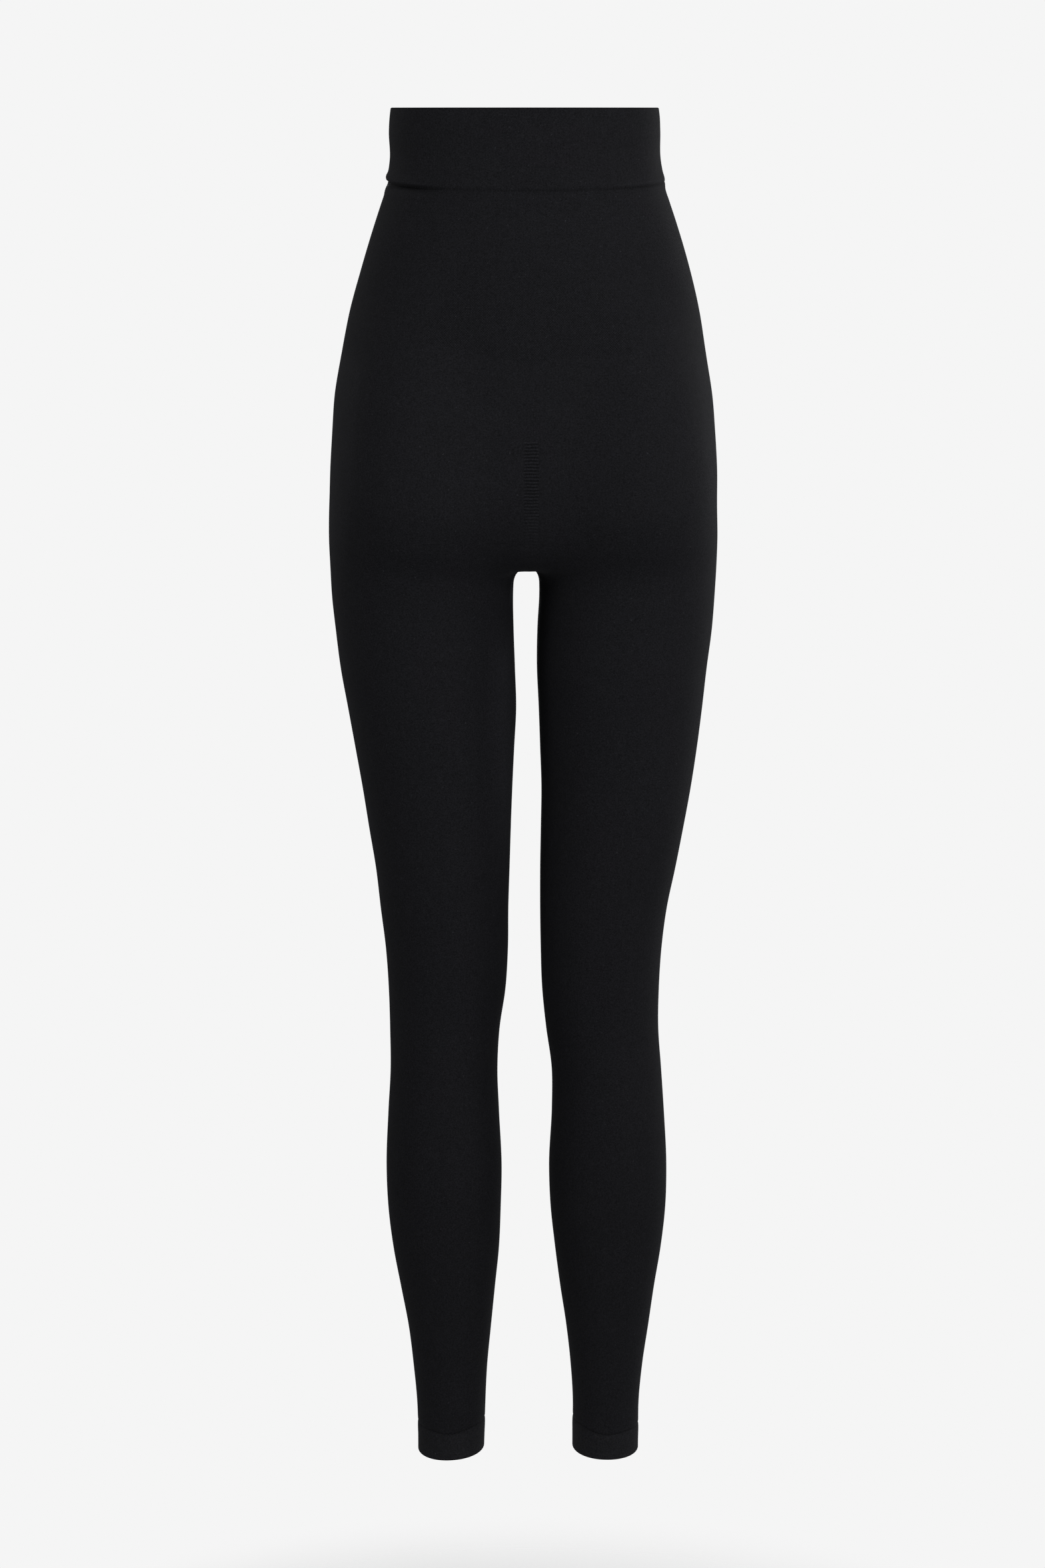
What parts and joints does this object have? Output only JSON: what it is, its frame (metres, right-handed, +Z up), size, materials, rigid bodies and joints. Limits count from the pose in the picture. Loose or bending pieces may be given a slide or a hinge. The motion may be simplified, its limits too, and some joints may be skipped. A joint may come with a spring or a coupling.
{
  "type": "high-waisted seamless leggings",
  "caption": "Full-length, high-waisted seamless knit leggings, filled out as if worn, with a wide double-knit waistband, a ladder strip at the centre back and hemmed ankles.",
  "frame": {"origin": "middle of the waistband, where the wearer's waist holds the garment up", "axes": "+Z up along the legs, -Y towards the garment's back, +X towards the wearer's right"},
  "size_m": [0.3095, 0.2219, 1.101],
  "materials": {
    "knit": "near-black fine jersey knit with a faint sheen",
    "band_knit": "near-black double knit with fine vertical wales"
  },
  "bodies": {
    "root": {"waistband": "band_knit", "upper_panel": "knit", "seat": "knit", "back_ladder": "knit", "leg_left_upper": "knit", "leg_right_upper": "knit", "leg_left_lower": "knit", "leg_right_lower": "knit", "hem_left": "band_knit", "hem_right": "band_knit"}
  },
  "joints": []
}
